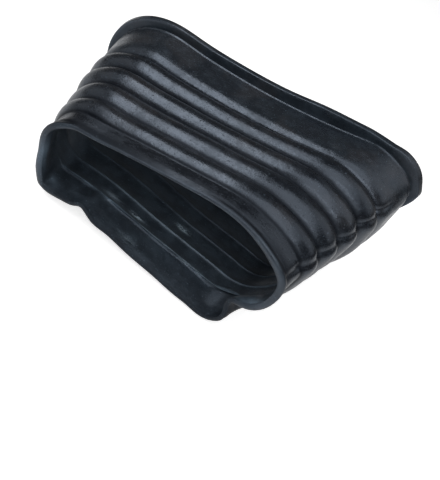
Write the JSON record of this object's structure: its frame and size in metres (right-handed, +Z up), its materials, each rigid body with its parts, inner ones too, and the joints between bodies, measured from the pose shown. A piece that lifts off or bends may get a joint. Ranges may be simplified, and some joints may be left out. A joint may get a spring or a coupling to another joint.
{
  "type": "rubber bellows boot",
  "caption": "Moulded convoluted rubber duct boot that flares from an oblong clamp collar to a wide flanged mouth.",
  "frame": {"origin": "middle of the boot's bounding box, on the surface that it lies on", "axes": "+X across the boot, +Y along the air path from the small mouth to the flange, +Z up"},
  "size_m": [0.359, 0.176, 0.1683],
  "materials": {
    "moulded_rubber": "satin moulded rubber, lightly dusty"
  },
  "bodies": {
    "root": {"bellows_boot": "moulded_rubber"}
  },
  "joints": []
}
